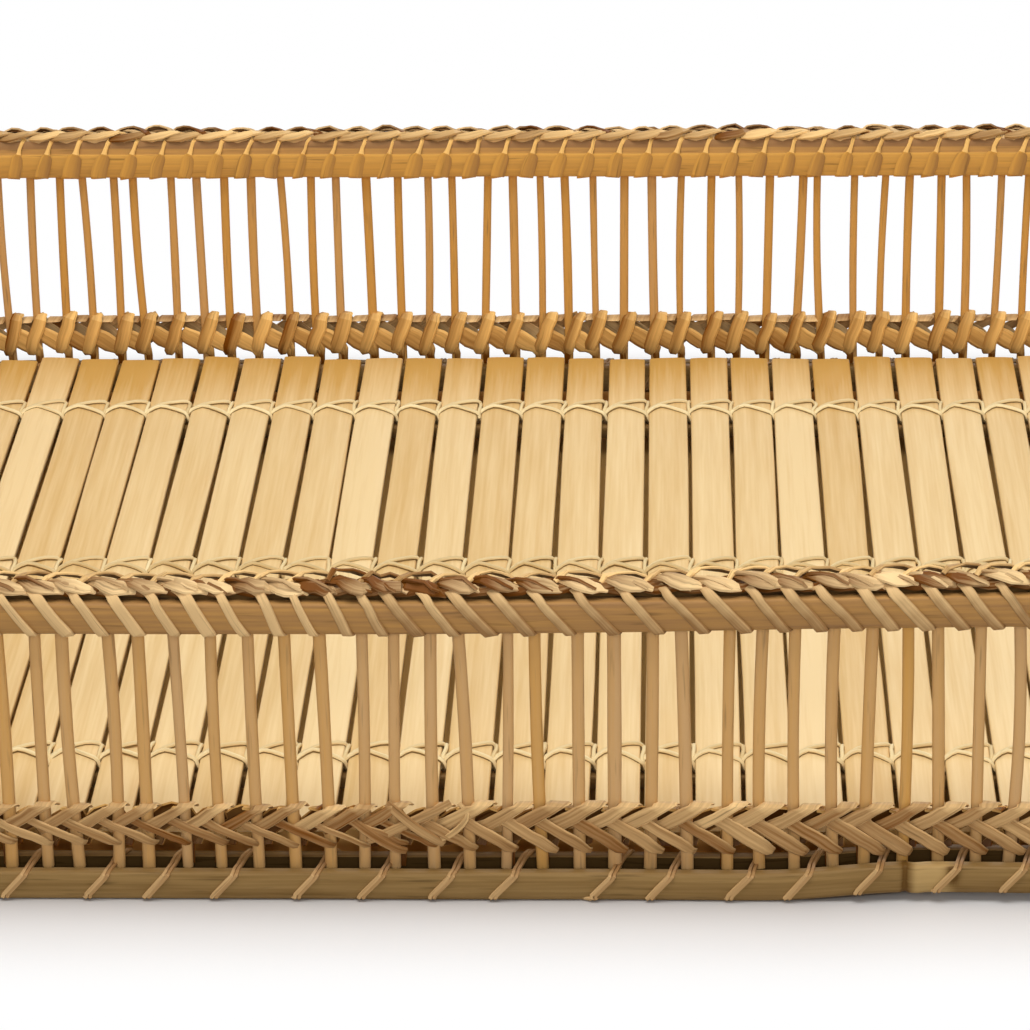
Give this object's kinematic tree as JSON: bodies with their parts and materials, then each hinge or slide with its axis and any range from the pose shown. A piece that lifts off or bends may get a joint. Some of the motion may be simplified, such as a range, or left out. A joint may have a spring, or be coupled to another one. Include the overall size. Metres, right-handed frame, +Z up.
{
  "type": "wicker tray",
  "caption": "Rectangular wicker serving tray with rounded corners: a slatted bamboo floor inside an open wall of upright stakes, bound by bamboo hoops at the foot and rim.",
  "frame": {"origin": "on the surface that the tray stands on, under the middle of the tray", "axes": "+X along the tray's length, +Y from the front to the back, +Z up"},
  "size_m": [0.4854, 0.338, 0.0876],
  "materials": {
    "floor_slat": "pale straw bamboo, satin, with lengthwise grain",
    "floor_tie": "pale split cane, satin",
    "floor_bearer": "plain split bamboo, matt",
    "wall_stake": "tan to orange-brown split bamboo, satin",
    "base_band": "brown-tan flat bamboo strip, satin",
    "hoop": "olive-tan bamboo strip with fine lengthwise fibres, satin",
    "lashing": "light tan split cane, satin",
    "rim_plait": "brown-tan twisted bamboo strip, satin"
  },
  "bodies": {
    "root": {"floor_slat_01": "floor_slat", "floor_slat_02": "floor_slat", "floor_slat_03": "floor_slat", "floor_slat_04": "floor_slat", "floor_slat_05": "floor_slat", "floor_slat_06": "floor_slat", "floor_slat_07": "floor_slat", "floor_slat_08": "floor_slat", "floor_slat_09": "floor_slat", "floor_slat_10": "floor_slat", "floor_slat_11": "floor_slat", "floor_slat_12": "floor_slat", "floor_slat_13": "floor_slat", "floor_slat_14": "floor_slat", "floor_slat_15": "floor_slat", "floor_slat_16": "floor_slat", "floor_slat_17": "floor_slat", "floor_slat_18": "floor_slat", "floor_slat_19": "floor_slat", "floor_slat_20": "floor_slat", "floor_slat_21": "floor_slat", "floor_slat_22": "floor_slat", "floor_slat_23": "floor_slat", "floor_slat_24": "floor_slat", "floor_slat_25": "floor_slat", "floor_slat_26": "floor_slat", "floor_slat_27": "floor_slat", "floor_slat_28": "floor_slat", "floor_slat_29": "floor_slat", "floor_slat_30": "floor_slat", "floor_slat_31": "floor_slat", "floor_slat_32": "floor_slat", "floor_slat_33": "floor_slat", "floor_slat_34": "floor_slat", "floor_slat_35": "floor_slat", "floor_tie_front": "floor_tie", "floor_tie_middle": "floor_tie", "floor_tie_back": "floor_tie", "floor_bearer_front": "floor_bearer", "floor_bearer_middle": "floor_bearer", "floor_bearer_back": "floor_bearer", "stakes_front": "wall_stake", "stakes_back": "wall_stake", "stakes_left": "wall_stake", "stakes_right": "wall_stake", "stakes_corner_front_left": "wall_stake", "stakes_corner_front_right": "wall_stake", "stakes_corner_back_left": "wall_stake", "stakes_corner_back_right": "wall_stake", "base_band_outer": "base_band", "base_band_inner": "base_band", "foot_hoop_outer": "hoop", "foot_hoop_inner": "hoop", "rim_hoop_outer": "hoop", "rim_hoop_inner": "hoop", "foot_lashing": "lashing", "rim_lashing": "lashing", "rim_plait": "rim_plait"}
  },
  "joints": []
}
